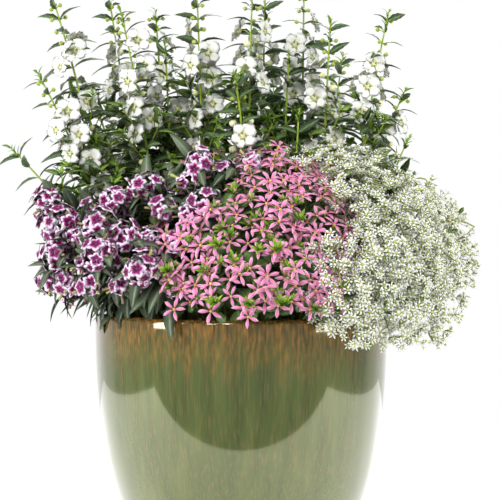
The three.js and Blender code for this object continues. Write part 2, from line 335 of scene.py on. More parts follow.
# ---- Potting mix ----
# Peat and bark, tipped in and pressed down round the roots. Its top is a low dome of crumbs under the leaves.
def new_tint():
    """A node group that every living or loose surface uses: two colours mixed by a fine mottle and by the
    tone of each leaf, petal or crumb, with the mottle as a height."""
    group = bpy.data.node_groups.new("tint", "ShaderNodeTree")
    group.interface.new_socket("Dark", in_out="INPUT", socket_type="NodeSocketColor")
    group.interface.new_socket("Light", in_out="INPUT", socket_type="NodeSocketColor")
    group.interface.new_socket("Scale", in_out="INPUT", socket_type="NodeSocketFloat")
    group.interface.new_socket("Color", in_out="OUTPUT", socket_type="NodeSocketColor")
    group.interface.new_socket("Height", in_out="OUTPUT", socket_type="NodeSocketFloat")
    nodes, links = group.nodes, group.links
    given = nodes.new("NodeGroupInput")
    out = nodes.new("NodeGroupOutput")
    place = nodes.new("ShaderNodeTexCoord")
    noise = nodes.new("ShaderNodeTexNoise")
    tone = nodes.new("ShaderNodeAttribute")
    tone.attribute_name = "tone"
    both = nodes.new("ShaderNodeMath")
    both.operation = "MULTIPLY_ADD"
    both.inputs[1].default_value = 0.5
    shift = nodes.new("ShaderNodeMath")
    shift.operation = "SUBTRACT"
    shift.inputs[1].default_value = 0.25
    mix = nodes.new("ShaderNodeMix")
    mix.data_type = "RGBA"
    links.new(place.outputs["Object"], noise.inputs["Vector"])
    links.new(given.outputs["Scale"], noise.inputs["Scale"])
    links.new(noise.outputs["Fac"], both.inputs[0])
    links.new(tone.outputs["Fac"], both.inputs[2])
    links.new(both.outputs["Value"], shift.inputs[0])
    links.new(shift.outputs["Value"], mix.inputs[0])
    links.new(given.outputs["Dark"], mix.inputs[6])
    links.new(given.outputs["Light"], mix.inputs[7])
    links.new(mix.outputs[2], out.inputs["Color"])
    links.new(noise.outputs["Fac"], out.inputs["Height"])
    return group


tint = new_tint()


def tinted(material, dark, light, scale):
    """Puts the tint group in a material and gives back its node."""
    node = material.node_tree.nodes.new("ShaderNodeGroup")
    node.node_tree = tint
    node.inputs["Dark"].default_value = (*dark, 1)
    node.inputs["Light"].default_value = (*light, 1)
    node.inputs["Scale"].default_value = scale
    return node


def mottled_material(name, dark, light, scale, roughness, bump=0.3):
    material, shader = new_material(name, roughness, 0.35)
    add, join = node_maker(material)
    node = tinted(material, dark, light, scale)
    join(node.outputs["Color"], shader.inputs["Base Color"])
    relief(material, shader, node.outputs["Height"], bump, 0.0006)
    return material


def pose(at, along, facing, size=1.0):
    """A matrix that puts a shape's Y along one direction and its Z as near as can be to another."""
    y = Vector(along).normalized()
    x = y.cross(Vector(facing))
    if x.length < 1e-4:
        x = y.orthogonal()
    x.normalize()
    z = x.cross(y)
    matrix = Matrix((x * size, y * size, z * size)).transposed().to_4x4()
    matrix.translation = Vector(at)
    return matrix


def copies(name, master, places, tones):
    """One mesh with the master's shape at every place, each copy with its own tone. Removes the master."""
    shape = np.array([(*v.co, 1.0) for v in master.data.vertices])
    matrices = np.array([[list(row) for row in m] for m in places])
    points = np.einsum("mij,nj->mni", matrices, shape)[:, :, :3].reshape(-1, 3)
    count = len(shape)
    master_faces = [tuple(p.vertices) for p in master.data.polygons]
    faces = [tuple(i + k * count for i in face) for k in range(len(places)) for face in master_faces]
    uv = np.zeros(len(master.data.loops) * 2)
    master.data.uv_layers.active.data.foreach_get("uv", uv)
    data = bpy.data.meshes.new(name)
    data.from_pydata(points.tolist(), [], faces)
    data.uv_layers.new(name="UVMap").data.foreach_set("uv", np.tile(uv, len(places)))
    data.attributes.new("tone", "FLOAT", "POINT").data.foreach_set("value", np.repeat(tones, count))
    piece = bpy.data.objects.new(name, data)
    scene.collection.objects.link(piece)
    bpy.data.objects.remove(master)
    smooth(piece)
    return piece


soil_low, soil_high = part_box("potting_mix")
SOIL_DOME = 0.007
soil_edge = soil_high.z - SOIL_DOME


def soil_top(x, y):
    share = math.hypot(x, y) / (POT_RADIUS - POT_WALL)
    return soil_edge + SOIL_DOME * (1 - share * share)


def potting_mix():
    wall = [(pot_radius(z) - POT_WALL - 0.0008, z) for z in np.linspace(POT_FLOOR + 0.0004, soil_edge, 10)]
    top = [(r, soil_top(r, 0)) for r in np.linspace(wall[-1][0], 0, 34)[1:]]
    piece = turned("potting_mix_bed", [(0, POT_FLOOR + 0.0004)] + wall + top, 96)
    crumble = bpy.data.textures.new("crumble", "CLOUDS")
    crumble.noise_scale = 0.009
    rough = piece.modifiers.new("rough", "DISPLACE")
    rough.texture = crumble
    rough.strength = 0.004
    rough.mid_level = 1.0
    rough.vertex_group = piece.vertex_groups.new(name="top").name
    high_up = [v for v in piece.data.vertices if v.co.z > soil_edge - 0.001]
    on_top = [v.index for v in high_up if math.hypot(*v.co.xy) < 0.164]
    piece.vertex_groups["top"].add(on_top, 1.0, "REPLACE")
    bpy.ops.object.modifier_apply(modifier="rough")
    return piece


mix_material = mottled_material("damp_potting_mix", (0.012, 0.008, 0.005), (0.07, 0.045, 0.028),
                                320, 0.85, 0.8)
mix = finished(potting_mix(), "potting_mix_bed", mix_material, ["potting_mix"])
mix_tone = mix.data.attributes.new("tone", "FLOAT", "POINT")
mix_tone.data.foreach_set("value", np.full(len(mix.data.vertices), 0.3))

bpy.ops.object.select_all(action="DESELECT")
bpy.ops.mesh.primitive_ico_sphere_add(subdivisions=1, radius=1, calc_uvs=True)
crumb = bpy.context.object
chance = random.Random(5)
for corner in crumb.data.vertices:
    corner.co *= chance.uniform(0.75, 1.15)
places, tones = [], []
for _ in range(900):
    angle = chance.uniform(0, 2 * math.pi)
    reach = 0.162 * math.sqrt(chance.random())
    x, y = reach * math.cos(angle), reach * math.sin(angle)
    heading = Vector((chance.uniform(-1, 1), chance.uniform(-1, 1), chance.uniform(-1, 1)))
    chunk = pose((x, y, soil_top(x, y) - 0.001), heading, (0.1, 0.3, 1), chance.uniform(0.0015, 0.0042))
    places.append(chunk @ Matrix.Diagonal((0.7, 1.4, 0.6, 1)))
    tones.append(chance.uniform(0, 0.9))
crumbs = copies("bark_crumbs", crumb, places, tones)
finished(crumbs, "bark_crumbs", mix_material)


# ---- Angelonia stems ----
# Square, lime green stems that stand up from the mix and lean out a little, each ending in a bud spike.
# Every flower and bud hangs on a hair-thin stalk from a leaf joint.
def corners_of(node):
    points = np.array([v.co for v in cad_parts[node].data.vertices])
    return np.unique(points.round(5), axis=0)


def ends_of(node):
    """Where a shoot is planted, and the point of it that is farthest from there."""
    points = corners_of(node)
    inside = points[np.hypot(points[:, 0], points[:, 1]) < POT_RADIUS - POT_WALL]
    planted = inside[inside[:, 2] < inside[:, 2].min() + 0.004].mean(0)
    far = points[np.linalg.norm(points - planted, axis=1).argmax()]
    return Vector(planted), Vector(far)


def shoot_path(root, tip, lean, rise):
    """The root, the bow's control point and the tip."""
    bow = root.lerp(tip, lean)
    bow.z = root.z + rise
    return root, bow, tip


def point_on(path, t):
    root, bow, tip = path
    return root * (1 - t) ** 2 + bow * (2 * t * (1 - t)) + tip * t ** 2


def heading_on(path, t):
    root, bow, tip = path
    return ((bow - root) * (1 - t) + (tip - bow) * t).normalized()


def sideways(path, t, angle, raise_by):
    """A direction that leaves the path at t, at an angle round it, raised towards the tip."""
    along = heading_on(path, t)
    reach = path[2] - path[0]
    level = Vector((reach.y, -reach.x, 0))
    if level.length < 0.02:
        level = Vector((0, 1, 0)).cross(along)
    side = level.normalized()
    front = along.cross(side)
    return (side * math.cos(angle) + front * math.sin(angle) + along * raise_by).normalized()


def stalks(name, routes, roundness=1):
    """Thin round stalks: each route is a list of points, the first and last thickness, in metres."""
    data = bpy.data.curves.new(name, "CURVE")
    data.dimensions = "3D"
    data.bevel_depth = 1.0
    data.bevel_resolution = roundness
    data.use_fill_caps = True
    for points, first, last in routes:
        spline = data.splines.new("POLY")
        spline.points.add(len(points) - 1)
        for i, point in enumerate(points):
            spline.points[i].co = (*point, 1)
            spline.points[i].radius = first + (last - first) * i / (len(points) - 1)
    piece = bpy.data.objects.new(name, data)
    scene.collection.objects.link(piece)
    bpy.ops.object.select_all(action="DESELECT")
    bpy.context.view_layer.objects.active = piece
    piece.select_set(True)
    bpy.ops.object.convert(target="MESH")
    piece = bpy.context.object
    smooth(piece)
    piece.data.attributes.new("tone", "FLOAT", "POINT")
    piece.data.attributes["tone"].data.foreach_set("value", np.full(len(piece.data.vertices), 0.5))
    return piece


def nodes_named(start):
    return sorted(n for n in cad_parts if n.startswith(start))


spire_nodes = nodes_named("angelonia_spire")
leafy_nodes = nodes_named("angelonia_leafy")


def angelonia_path(node):
    root, tip = ends_of(node)
    return shoot_path(root, tip, 0.35, 0.6 * (tip.z - root.z))


spires = [angelonia_path(n) for n in spire_nodes]
leafy_shoots = [angelonia_path(n) for n in leafy_nodes]
JOINT_SPACING = 0.0175
UPWARD = Vector((0, 0, 1))

angelonia_routes = [
    ([point_on(path, k / 24) for k in range(25)], 0.0026, 0.0009) for path in spires + leafy_shoots
]
angelonia_leaves, angelonia_small_leaves, angelonia_flowers, angelonia_buds = [], [], [], []
chance = random.Random(21)


def turned_out(at, weight):
    """The direction away from the pot's axis, weighted, for flowers that turn to the light."""
    away = Vector((at.x, at.y, 0))
    return away.normalized() * weight if away.length > 0.01 else Vector((0, 0, 0))


def leaf_pair(path, t, turn, length, raise_by):
    for angle in (turn, turn + math.pi):
        way = sideways(path, t, angle + chance.uniform(-0.3, 0.3), raise_by + chance.uniform(-0.25, 0.25))
        facing = UPWARD * 0.7 + turned_out(path[2], 0.75)
        facing += Vector((chance.uniform(-0.4, 0.4), chance.uniform(-0.7, 0.1), 0))
        size = length * chance.uniform(0.8, 1.2)
        angelonia_leaves.append((pose(point_on(path, t), way, facing, size), chance.random()))


def side_shoot(path, t, angle, reach, pairs):
    """A short leafy shoot from a leaf joint."""
    way = sideways(path, t, angle, chance.uniform(0.5, 1.1))
    start = point_on(path, t)
    tip = start + way * reach + Vector((0, 0, reach * 0.35))
    twig = shoot_path(start, tip, 0.6, (tip.z - start.z) * 0.45)
    angelonia_routes.append(([point_on(twig, k / 5) for k in range(6)], 0.0012, 0.0006))
    for k in range(pairs):
        where = 0.35 + 0.62 * k / max(pairs - 1, 1)
        for spin in (0, math.pi):
            leaf_way = sideways(twig, where, spin + k * 1.57 + chance.uniform(-0.3, 0.3),
                                chance.uniform(0.3, 1.2))
            size = chance.uniform(0.028, 0.045) * (1.15 - 0.45 * where)
            spot = pose(point_on(twig, where), leaf_way, UPWARD * 0.7 + turned_out(tip, 0.7), size)
            angelonia_small_leaves.append((spot, chance.uniform(0, 0.5)))
    for k in range(5):
        leaf_way = sideways(twig, 1, k * 2.4, chance.uniform(0.8, 2.2))
        spot = pose(tip, leaf_way, heading_on(twig, 1), chance.uniform(0.009, 0.018))
        angelonia_small_leaves.append((spot, chance.uniform(0.75, 1.1)))


def flower_stalk(path, t, angle, reach):
    """A curved stalk from a leaf joint. Gives back its end and the way it points."""
    start = point_on(path, t)
    way = sideways(path, t, angle, 0.35)
    end = start + way * reach + Vector((0, 0, -0.1 * reach))
    middle = start.lerp(end, 0.5) + heading_on(path, t) * reach * 0.16
    angelonia_routes.append(([start, middle, end], 0.0007, 0.0006))
    return end, way


def grow_angelonia(path, flowering):
    length = (path[2] - path[0]).length * 1.03
    joints = int(length / JOINT_SPACING)
    for k in range(2, joints):
        t = k / joints
        turn = k * math.pi / 2 + chance.uniform(-0.2, 0.2)
        taper = 1 - max(0, t - 0.55) * 1.1
        leaf_pair(path, t, turn, 0.048 * taper * (0.8 if t < 0.2 else 1.0), 0.35 if t < 0.85 else 0.8)
        if t < (0.6 if flowering else 0.75):
            for angle in (turn + 0.6, turn + math.pi + 0.6):
                if chance.random() < 0.72:
                    reach = chance.uniform(0.03, 0.075) * (1.15 - t)
                    side_shoot(path, t, angle, reach, chance.choice((3, 4)))
        if flowering and 0.36 < t < 0.97:
            for angle in (turn + 0.8, turn + math.pi + 0.8):
                draw = chance.random()
                open_share = 0.6 if t < 0.8 else (0.25 if t < 0.88 else 0.0)
                if draw < open_share:
                    end, way = flower_stalk(path, t, angle, chance.uniform(0.013, 0.02))
                    facing = way * 0.8 + turned_out(end, 0.5) + Vector((0, -0.55, chance.uniform(-0.3, 0.2)))
                    size = chance.uniform(0.03, 0.036)
                    angelonia_flowers.append(pose(end, facing.orthogonal(), facing, size))
                elif draw < 0.9:
                    end, way = flower_stalk(path, t, angle, chance.uniform(0.006, 0.012) * (1.35 - 0.6 * t))
                    ripe = chance.random() if t < 0.8 else 0.0
                    size = 0.0028 + 0.0022 * ripe + 0.0008 * (1 - t)
                    angelonia_buds.append((pose(end, way, (0, 0, 1), size), ripe))
    # The spike ends in a tuft of small upright leaves and green buds.
    for k in range(10):
        t = 0.93 + 0.07 * k / 9
        way = sideways(path, min(t, 1), k * 2.4, chance.uniform(0.8, 2.4))
        spot = pose(point_on(path, min(t, 1)), way, heading_on(path, 1), chance.uniform(0.008, 0.016))
        angelonia_small_leaves.append((spot, chance.uniform(0.75, 1.1)))


for path in spires:
    grow_angelonia(path, True)
for path in leafy_shoots:
    grow_angelonia(path, False)
# Short shoots crowd the foot of each stem and hide the soil.
for path in spires + leafy_shoots:
    for t in (0.09, 0.15, 0.21):
        for angle in (t * 40, t * 40 + math.pi):
            side_shoot(path, t, angle, chance.uniform(0.05, 0.08), 4)

angelonia_stem_material = mottled_material("angelonia_stem", (0.16, 0.27, 0.015), (0.42, 0.56, 0.04), 60, 0.4)
finished(stalks("angelonia_stems", angelonia_routes), "angelonia_stems", angelonia_stem_material,
         spire_nodes + leafy_nodes)


# ---- Angelonia leaves ----
# Narrow, toothed leaves in pairs, folded a little along the midrib and arched. They are dark and glossy
# above, and paler where they are young.
def blade(name, half_width, rows, columns=2, fold=0.0, arch=0.0, ruffle=0.0, thickness=0.02):
    """A leaf or petal of length 1 along Y from the origin, facing +Z. half_width gives its outline."""
    bpy.ops.object.select_all(action="DESELECT")
    bpy.ops.mesh.primitive_grid_add(x_subdivisions=columns, y_subdivisions=rows, size=1, calc_uvs=True)
    piece = bpy.context.object
    piece.name = name
    for corner in piece.data.vertices:
        across = corner.co.x * 2
        t = corner.co.y + 0.5
        half = half_width(t)
        wave = ruffle * math.sin(t * 9 + across * 4) * abs(across)
        height = fold * half * abs(across) - arch * t * t + arch * 0.25 * t + wave
        corner.co = (across * half, t - 0.18 * arch * t * t, height)
    middle = piece.vertex_groups.new(name="middle")
    line = columns + 1
    inner = [i for i in range(line, line * rows) if 0 < i % line < columns]
    middle.add(inner, 1.0, "REPLACE")
    sheet = piece.modifiers.new("thickness", "SOLIDIFY")
    sheet.thickness = thickness
    sheet.offset = 0
    sheet.use_rim = False
    sheet.vertex_group = "middle"
    bpy.ops.object.modifier_apply(modifier="thickness")
    bpy.ops.object.mode_set(mode="EDIT")
    bpy.ops.mesh.select_all(action="SELECT")
    bpy.ops.mesh.remove_doubles(threshold=0.0075)
    bpy.ops.object.mode_set(mode="OBJECT")
    return piece


def lance(width, widest, teeth=0.0, rows=1):
    """A lance-shaped outline: nothing at the base, widest at a share of the length, a point at the end."""
    power = math.log(0.5) / math.log(widest)

    def half_width(t):
        tooth = 1 + teeth * (1 if round(t * rows) % 2 else -1)
        return width / 2 * max(math.sin(math.pi * min(max(t, 0), 1) ** power), 0) ** 0.9 * tooth + 0.004

    return half_width


def across_and_along(material):
    """Outputs that run from 0 to 1 across a blade and along it."""
    add, join = node_maker(material)
    place = add("UVMap")
    place.uv_map = "UVMap"
    parts = add("SeparateXYZ")
    join(place.outputs["UV"], parts.inputs["Vector"])
    return parts.outputs["X"], parts.outputs["Y"]


def off_midrib(material, across):
    """How far a point is from the blade's middle line, up to 0.5."""
    return worked(material, "ABSOLUTE", worked(material, "SUBTRACT", across, 0.5))


def glowing(shader, weight, radius):
    """Lets light through a thin blade."""
    shader.inputs["Subsurface Weight"].default_value = weight
    shader.inputs["Subsurface Radius"].default_value = radius


def leaf_material(name, dark, light, rib, roughness=0.4):
    """A leaf skin: mottled green, a pale midrib, faint side veins and a soft gloss."""
    material, shader = new_material(name, roughness, 0.4)
    green = tinted(material, dark, light, 55).outputs["Color"]
    across, along = across_and_along(material)
    off = off_midrib(material, across)
    midrib = ranged(material, off, 0.02, 0.12, 0.75, 0.0)
    slant = worked(material, "MULTIPLY_ADD", off, -0.7, along)
    wave = worked(material, "SINE", worked(material, "MULTIPLY", slant, 48))
    veins = worked(material, "MAXIMUM", midrib, ranged(material, wave, 0.6, 1.0, 0.0, 0.3))
    feed(material, mixed(material, veins, green, rib), shader.inputs["Base Color"])
    relief(material, shader, veins, 0.35, 0.0006)
    glowing(shader, 0.12, (0.001, 0.002, 0.0005))
    return material


def placed_copies(name, master, spots, material):
    """Copies of a master at spots, each a matrix and a tone."""
    piece = copies(name, master, [spot[0] for spot in spots], [spot[1] for spot in spots])
    return finished(piece, name, material)


angelonia_leaf_material = leaf_material("angelonia_leaf", (0.02, 0.042, 0.016), (0.085, 0.145, 0.05),
                                        (0.15, 0.23, 0.08))
leaf = blade("leaf", lance(0.28, 0.42, 0.09, 8), 8, fold=0.3, arch=0.5, thickness=0.02)
placed_copies("angelonia_leaves", leaf, angelonia_leaves, angelonia_leaf_material)
young = blade("young_leaf", lance(0.27, 0.42), 4, fold=0.35, arch=0.4, thickness=0.02)
young_material = leaf_material("angelonia_young_leaf", (0.022, 0.05, 0.012), (0.24, 0.4, 0.03),
                               (0.16, 0.25, 0.07))
placed_copies("angelonia_young_leaves", young, angelonia_small_leaves, young_material)


# ---- Angelonia flowers ----
# Each flower is one petal tube that opens into two small upper lobes and three broad lower ones, all
# ruffled, round an open pale throat with a yellow-green floor. It dries on the stalk and drops whole.
def petal_outline(width, neck, notch=0.0):
    """A rounded petal: a neck at the base, broad at the end."""

    def half_width(t):
        swell = math.sin(math.pi * min(0.16 + 0.78 * t, 1)) ** 0.75
        narrowed = neck + (1 - neck) * min(1, t * 2.4)
        return width / 2 * swell * narrowed * (1 - notch * max(0, t - 0.8) * 5) + 0.002

    return half_width


def ring_of_petals(name, petals, reach, tilt):
    """Turns each petal round the flower's middle and joins them. petals: (object, angle, size)."""
    for piece, angle, size in petals:
        turn = Matrix.Rotation(angle, 4, "Z") @ Matrix.Translation((0, reach, 0))
        piece.data.transform(turn @ Matrix.Rotation(tilt, 4, "X") @ Matrix.Scale(size, 4))
    return joined(name, [piece for piece, _, _ in petals])


def joined(name, pieces):
    bpy.ops.object.select_all(action="DESELECT")
    for piece in pieces:
        piece.select_set(True)
    bpy.context.view_layer.objects.active = pieces[0]
    bpy.ops.object.join()
    whole = bpy.context.object
    whole.name = name
    return whole


def tube(sides, base, mouth, depth, middle, along):
    """A flower's tube behind its face, in the colour that the petals have at one place along them."""
    bpy.ops.object.select_all(action="DESELECT")
    bpy.ops.mesh.primitive_cone_add(vertices=sides, radius1=base, radius2=mouth, depth=depth,
                                    end_fill_type="TRIFAN", location=(0, 0, middle), calc_uvs=True)
    piece = bpy.context.object
    for loop in piece.data.uv_layers.active.data:
        loop.uv = (0.5, along)
    return piece


def angelonia_flower():
    petals = []
    for degrees, size, width in ((28, 0.40, 0.95), (-28, 0.40, 0.95), (105, 0.44, 1.05), (-105, 0.44, 1.05),
                                 (180, 0.50, 1.2)):
        petal = blade("lobe", petal_outline(width, 0.55), 4, 4, fold=0.12, arch=0.25, ruffle=0.17,
                      thickness=0.03)
        petals.append((petal, math.radians(degrees), size))
    face = ring_of_petals("angelonia_face", petals, 0.07, math.radians(18))
    return joined("angelonia_flower", [face, tube(10, 0.05, 0.17, 0.12, -0.05, 0.08)])


def petal_material(name, stops, glow=0.25):
    """A petal skin: colours along the petal from base to tip, with a faint vein relief and a soft glow."""
    material, shader = new_material(name, 0.55, 0.25)
    across, along = across_and_along(material)
    mottle = tinted(material, (0.88, 0.88, 0.88), (1, 1, 1), 140).outputs["Color"]
    color = mixed(material, 1.0, ramped(material, along, stops), mottle, "MULTIPLY")
    feed(material, color, shader.inputs["Base Color"])
    veins = worked(material, "SINE", worked(material, "MULTIPLY", across, 60))
    relief(material, shader, veins, 0.12, 0.0003)
    glowing(shader, glow, (0.003, 0.003, 0.003))
    return material


white_petal = petal_material("white_petal", [(0.0, (0.5, 0.56, 0.22)), (0.1, (0.72, 0.72, 0.42)),
                                             (0.24, (0.8, 0.81, 0.72)), (1.0, (0.83, 0.84, 0.82))])
flower_spots = [(spot, chance.uniform(0.5, 1.0)) for spot in angelonia_flowers]
placed_copies("angelonia_flowers", angelonia_flower(), flower_spots, white_petal)


# ---- Angelonia buds ----
# Round buds on thin stalks, lime green when young and cream when they are about to open.
bpy.ops.object.select_all(action="DESELECT")
bpy.ops.mesh.primitive_uv_sphere_add(segments=8, ring_count=6, radius=1, calc_uvs=True)
bud = bpy.context.object
for corner in bud.data.vertices:
    corner.co.y += 0.8
    corner.co.x *= 1 - 0.12 * corner.co.y
    corner.co.z *= 1 - 0.12 * corner.co.y
bud_material = mottled_material("bud_skin", (0.36, 0.44, 0.06), (0.86, 0.84, 0.55), 200, 0.4)
placed_copies("angelonia_buds", bud, angelonia_buds, bud_material)


# ---- Phlox stems and leaves ----
# Stout stems with opposite, grey green leaves lean out over the rim at the left. They branch near the top,
# and under each cluster of flowers a few leaves and slim buds stand out.
def low_path(node, lean, share, extra, shorten=0.0):
    """The path of a low shoot. The far end is drawn in by what stands on its tip."""
    root, far = ends_of(node)
    tip = far - (far - root).normalized() * shorten
    return shoot_path(root, tip, lean, share * max(tip.z - root.z, 0) + extra)


def mound_sites(tips, middle, spacing, shell, tries, lowest):
    """Places spread evenly through the outer part of the mound that the shoots' tips outline."""
    ways = [tip - middle for tip in tips]
    sites = []
    for _ in range(tries):
        out = Vector((chance.gauss(0, 1), chance.gauss(0, 1), chance.gauss(0, 1))).normalized()
        pulls = [math.exp(14 * (out.dot(way.normalized()) - 1)) for way in ways]
        if sum(pulls) < 0.3:
            continue
        reach = sum(way.length * pull for way, pull in zip(ways, pulls)) / sum(pulls)
        site = middle + out * reach * chance.uniform(*shell)
        clear = site.z > POT_HEIGHT + 0.006 or math.hypot(site.x, site.y) > POT_RADIUS + 0.008
        if clear and site.z > lowest and all((site - other).length > spacing for other in sites):
            sites.append(site)
    return sites


def forks_to(sites, paths, first_share):
    """Joins each place to the nearest point of a shoot or of the twigs so far. Gives back their two ends."""
    held = [point_on(path, first_share + (1 - first_share) * k / 9) for path in paths for k in range(10)]
    ends = np.array([tuple(point) for point in held])
    waiting = np.array([tuple(site) for site in sites])
    gaps = np.linalg.norm(waiting[:, None] - ends[None], axis=2)
    nearest, gap = ends[gaps.argmin(1)], gaps.min(1)
    twigs = []
    for _ in range(len(sites)):
        pick = int(gap.argmin())
        twigs.append((Vector(nearest[pick]), Vector(waiting[pick])))
        gap[pick] = 9
        fresh = np.linalg.norm(waiting - waiting[pick], axis=1)
        closer = (fresh < gap) & (gap < 9)
        nearest[closer] = waiting[pick]
        gap[closer] = fresh[closer]
    return twigs


def twig(start, end, first, last):
    """A route that rises a little on its way."""
    middle = start.lerp(end, 0.5) + UPWARD * (end - start).length * 0.1
    return [start, middle, end], first, last


HEAD_RADIUS = 0.017
PHLOX_MIDDLE = Vector((-0.12, -0.055, POT_HEIGHT + 0.025))
phlox_nodes = nodes_named("phlox_stem")
phlox_paths = [low_path(n, 0.45, 0.75, 0.046, HEAD_RADIUS) for n in phlox_nodes]
phlox_routes, phlox_leaves, phlox_florets, phlox_buds = [], [], [], []
chance = random.Random(33)


def scatter(spread):
    return Vector([chance.uniform(-spread, spread) for _ in range(3)])


def phlox_head(centre, way, radius, count):
    """A loose cluster of florets: each stands on its own tube and faces away from the middle."""
    axis = way.normalized()
    first = axis.orthogonal().normalized()
    second = axis.cross(first)
    for k in range(count):
        lift = 1 - 1.25 * (k + 0.5) / count
        ring = math.sqrt(max(1 - lift * lift, 0))
        spin = k * 2.39996
        out = axis * lift + (first * math.cos(spin) + second * math.sin(spin)) * ring + scatter(0.28)
        end = centre + out * radius * chance.uniform(0.8, 1.25)
        facing = out + scatter(0.25)
        spot = pose(end, facing.orthogonal(), facing, chance.uniform(0.0195, 0.0245))
        phlox_florets.append((spot, chance.random()))
        route = [centre - axis * radius * 0.6, centre + out * radius * 0.3, end]
        phlox_routes.append((route, 0.0006, 0.0005))
    for k in range(7):
        out = axis * chance.uniform(-0.3, 0.6) + first * math.cos(k * 2.4) + second * math.sin(k * 2.4)
        start = centre + out * radius * 0.5
        phlox_buds.append((pose(start, out, axis, chance.uniform(0.012, 0.018)), chance.random()))


def phlox_leaf(at, way, facing, size):
    phlox_leaves.append((pose(at, way, facing, size), chance.random()))


for path in phlox_paths:
    phlox_routes.append(([point_on(path, k / 14) for k in range(15)], 0.0024, 0.0015))
    away = turned_out(path[2], 1.0)
    facing = (path[2] - PHLOX_MIDDLE).normalized() + away * 0.3 + UPWARD * 0.2
    phlox_head(path[2], facing, HEAD_RADIUS * chance.uniform(0.9, 1.1), chance.choice((15, 17, 19)))
    for k in range(8):
        t = 0.2 + 0.7 * k / 7
        for angle in (k * 1.57, k * 1.57 + math.pi):
            way = sideways(path, t, angle + chance.uniform(-0.3, 0.3), chance.uniform(0.1, 0.7))
            way += away * 0.45 - UPWARD * (0.5 * (1 - t) + 0.1)
            phlox_leaf(point_on(path, t), way, UPWARD + away * 0.5, chance.uniform(0.038, 0.058))

phlox_tips = [path[2] for path in phlox_paths]
heads = mound_sites(phlox_tips, PHLOX_MIDDLE, 0.03, (0.78, 0.93), 500, POT_HEIGHT + 0.02)
heads += [Vector(place) for place in ((-0.064, -0.11, 0.478), (-0.022, -0.1, 0.492), (0.012, -0.096, 0.502),
                                      (-0.062, -0.135, 0.44), (-0.034, -0.13, 0.468))]
for start, centre in forks_to(heads, phlox_paths, 0.6):
    phlox_routes.append(twig(start, centre, 0.0013, 0.001))
    if min((centre - path[2]).length for path in phlox_paths) > 0.022:
        out = (centre - PHLOX_MIDDLE).normalized()
        phlox_head(centre, out + scatter(0.3), chance.uniform(0.009, 0.013), chance.choice((7, 9, 11)))
        for k in range(4):
            way = scatter(1) + out * 0.6 - UPWARD * 0.3
            phlox_leaf(start.lerp(centre, 0.4), way, out + UPWARD * 0.5, chance.uniform(0.034, 0.05))

# The lowest leaves hang over the rim.
for path in phlox_paths:
    if path[2].x > -0.11:
        continue
    edge = math.atan2(path[2].y, path[2].x)
    for _ in range(3):
        turn = edge + chance.uniform(-0.3, 0.1)
        reach = POT_RADIUS + chance.uniform(-0.024, 0.002)
        away = Vector((math.cos(turn), math.sin(turn), 0))
        at = away * reach + UPWARD * (POT_HEIGHT + chance.uniform(0.012, 0.05))
        way = away * chance.uniform(0.35, 0.8) - UPWARD * chance.uniform(0.3, 0.9) + scatter(0.4)
        phlox_leaf(at, way, away + UPWARD * 0.4, chance.uniform(0.042, 0.06))
        phlox_routes.append(twig(point_on(path, 0.4), at, 0.0013, 0.001))

phlox_stem_material = mottled_material("phlox_stem", (0.07, 0.1, 0.03), (0.2, 0.24, 0.09), 60, 0.5)
finished(stalks("phlox_stems", phlox_routes), "phlox_stems", phlox_stem_material, phlox_nodes)
phlox_leaf_material = leaf_material("phlox_leaf", (0.03, 0.05, 0.028), (0.115, 0.155, 0.09),
                                    (0.24, 0.3, 0.18), 0.45)
leaf = blade("phlox_leaf", lance(0.3, 0.44), 8, fold=0.28, arch=0.34, thickness=0.02)
placed_copies("phlox_leaves", leaf, phlox_leaves, phlox_leaf_material)


# ---- Phlox florets ----
# Five notched petals lie flat at the end of a slim tube. Each is deep purple with a white edge and a
# small lilac eye, and the wedge's size differs from floret to floret.
def phlox_petal_material():
    material, shader = new_material("phlox_petal", 0.5, 0.3)
    across, along = across_and_along(material)
    off = off_midrib(material, across)
    wedge = worked(material, "MULTIPLY_ADD", along, 0.8, worked(material, "MULTIPLY", off, 0.75))
    tone = node_maker(material)[0]("Attribute", attribute_name="tone").outputs["Fac"]
    edge = worked(material, "MULTIPLY_ADD", tone, -0.14, wedge)
    color = ramped(material, edge, [(0.0, (0.4, 0.3, 0.5)), (0.08, (0.16, 0.006, 0.06)),
                                    (0.28, (0.17, 0.004, 0.07)), (0.42, (0.34, 0.01, 0.2)),
                                    (0.5, (0.66, 0.32, 0.6)), (0.62, (0.86, 0.76, 0.87))])
    feed(material, color, shader.inputs["Base Color"])
    relief(material, shader, off, 0.2, 0.0003)
    glowing(shader, 0.15, (0.002, 0.001, 0.002))
    return material


def floret():
    petals = []
    for k in range(5):
        petal = blade("petal", petal_outline(0.85, 0.25, 0.3), 4, 2, fold=-0.1, arch=0.24, thickness=0.05)
        petals.append((petal, 2 * math.pi * k / 5, 0.46))
    return ring_of_petals("floret", petals, 0.03, math.radians(6))


placed_copies("phlox_florets", floret(), phlox_florets, phlox_petal_material())


def slim_bud():
    """A slim bud: one six-sided cone that widens a little towards its end, laid along Y."""
    bpy.ops.object.select_all(action="DESELECT")
    bpy.ops.mesh.primitive_cone_add(vertices=6, radius1=0.07, radius2=0.1, depth=1, end_fill_type="TRIFAN",
                                    calc_uvs=True, location=(0, 0, 0.5))
    piece = bpy.context.object
    bpy.ops.object.transform_apply(location=True, rotation=False, scale=False)
    piece.data.transform(Matrix.Rotation(-math.pi / 2, 4, "X"))
    return piece


phlox_bud_material = mottled_material("phlox_bud", (0.2, 0.06, 0.12), (0.4, 0.45, 0.12), 250, 0.5)
placed_copies("phlox_buds", slim_bud(), phlox_buds, phlox_bud_material)


